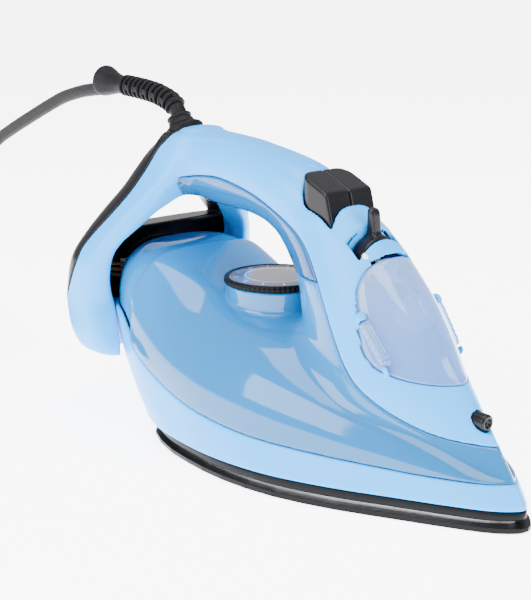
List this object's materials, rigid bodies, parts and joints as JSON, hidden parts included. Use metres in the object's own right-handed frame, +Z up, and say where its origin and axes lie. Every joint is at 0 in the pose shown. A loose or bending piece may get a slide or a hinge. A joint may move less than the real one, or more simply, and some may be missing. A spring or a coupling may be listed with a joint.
{
  "type": "steam iron",
  "caption": "Steam iron with a boat-shaped sole plate, clear water tank, open handle, temperature dial, spray nozzle, steam lever, push buttons and a mains lead.",
  "frame": {"origin": "on the surface the iron stands on, under the middle of the iron's length and width (the mains lead not counted)", "axes": "+X towards the sole's tip, +Y to the iron's left, +Z up; y = 0 is the iron's plane of symmetry"},
  "size_m": [0.5028, 0.2016, 0.1875],
  "materials": {
    "sole_coating": "satin non-stick coating",
    "cast_alloy": "as cast",
    "heater_steel": "dull",
    "heat_plastic": "matte",
    "light_blue": "gloss",
    "clear_blue": "clear, tinted",
    "insert_blue": "clear, tinted",
    "lid_clear": "clear",
    "black_gloss": "gloss",
    "lever_blue": "gloss",
    "white_plastic": "moulded",
    "hose_silicone": "translucent silicone",
    "brass": "turned",
    "lamp_lens": "clear",
    "wire_insulation": "smooth",
    "steel": "bright",
    "dial_black": "knurled",
    "dial_grey": "satin",
    "cord_rubber": "moulded",
    "cord_textile": "braided"
  },
  "bodies": {
    "iron": {"sole_plate": "sole_coating", "sole_casting": "cast_alloy", "heating_element": "heater_steel", "steam_chamber_cover": "cast_alloy", "heat_skirt": "heat_plastic", "lower_housing": "light_blue", "water_tank": "clear_blue", "tank_base": "clear_blue", "upper_housing": "light_blue", "handle_insert": "insert_blue", "rear_cover": "black_gloss", "filler_inlet": "white_plastic", "spray_nozzle": "black_gloss", "spray_hose": "hose_silicone", "steam_pump": "white_plastic", "spray_pump": "white_plastic", "steam_shot_hose": "hose_silicone", "pump_feed_hose": "hose_silicone", "valve_seal": "hose_silicone", "valve_seat": "brass", "lever_bracket": "white_plastic", "thermostat": "white_plastic", "thermal_fuse": "heater_steel", "indicator_lens": "lamp_lens", "terminal_block": "white_plastic", "lead_wires": "wire_insulation", "inner_harness": "wire_insulation", "cord_clamp": "white_plastic", "cord_clamp_screws": "steel", "sole_screws": "steel", "steam_button_spring": "steel", "spray_button_spring": "steel", "lid_bracket": "white_plastic", "cord_collar": "cord_rubber", "cord_sleeve": "cord_rubber", "cord": "cord_textile", "cord_coil": "cord_textile", "cord_tie": "cord_textile", "plug_body": "cord_rubber", "plug_pins": "brass"},
    "dial": {"dial_rim": "dial_black", "dial_cap": "dial_grey", "dial_shaft": "white_plastic"},
    "steam_button_set": {"steam_button": "black_gloss", "steam_piston": "white_plastic"},
    "spray_button_set": {"spray_button": "black_gloss", "spray_piston": "white_plastic"},
    "lever": {"steam_lever": "lever_blue"},
    "needle": {"valve_needle": "white_plastic"},
    "lid": {"filler_lid": "lid_clear", "filler_plug": "hose_silicone", "lid_hinge_pin": "steel"}
  },
  "joints": [
    {"name": "temperature_dial", "type": "hinge", "parent": "iron", "child": "dial", "pos_m": [-0.025, 0, 0.087], "axis": [0, 0, -1], "range_deg": [0, 280]},
    {"name": "steam_button_press", "type": "slide", "parent": "iron", "child": "steam_button_set", "axis": [0, 0, -1], "range_m": [0, 0.0035], "stiffness_N_per_m": 600, "springref_m": -0.003, "deforming": ["steam_button_spring"]},
    {"name": "spray_button_press", "type": "slide", "parent": "iron", "child": "spray_button_set", "axis": [0, 0, -1], "range_m": [0, 0.0035], "stiffness_N_per_m": 600, "springref_m": -0.003, "deforming": ["spray_button_spring"]},
    {"name": "steam_lever_swing", "type": "hinge", "parent": "iron", "child": "lever", "pos_m": [0.044, 0, 0.1066], "axis": [1, 0, 0], "range_deg": [-18, 18]},
    {"name": "needle_lift", "type": "slide", "parent": "iron", "child": "needle", "axis": [0, 0, 1], "range_m": [-0.00101, 0.00101]},
    {"name": "filler_lid_hinge", "type": "hinge", "parent": "iron", "child": "lid", "pos_m": [0.0573, 0, 0.1096], "axis": [0, -1, 0], "range_deg": [0, 65]}
  ],
  "couplings": [
    {"joint": "needle_lift", "follows": "steam_lever_swing", "m_per_rad": 0.0032}
  ]
}
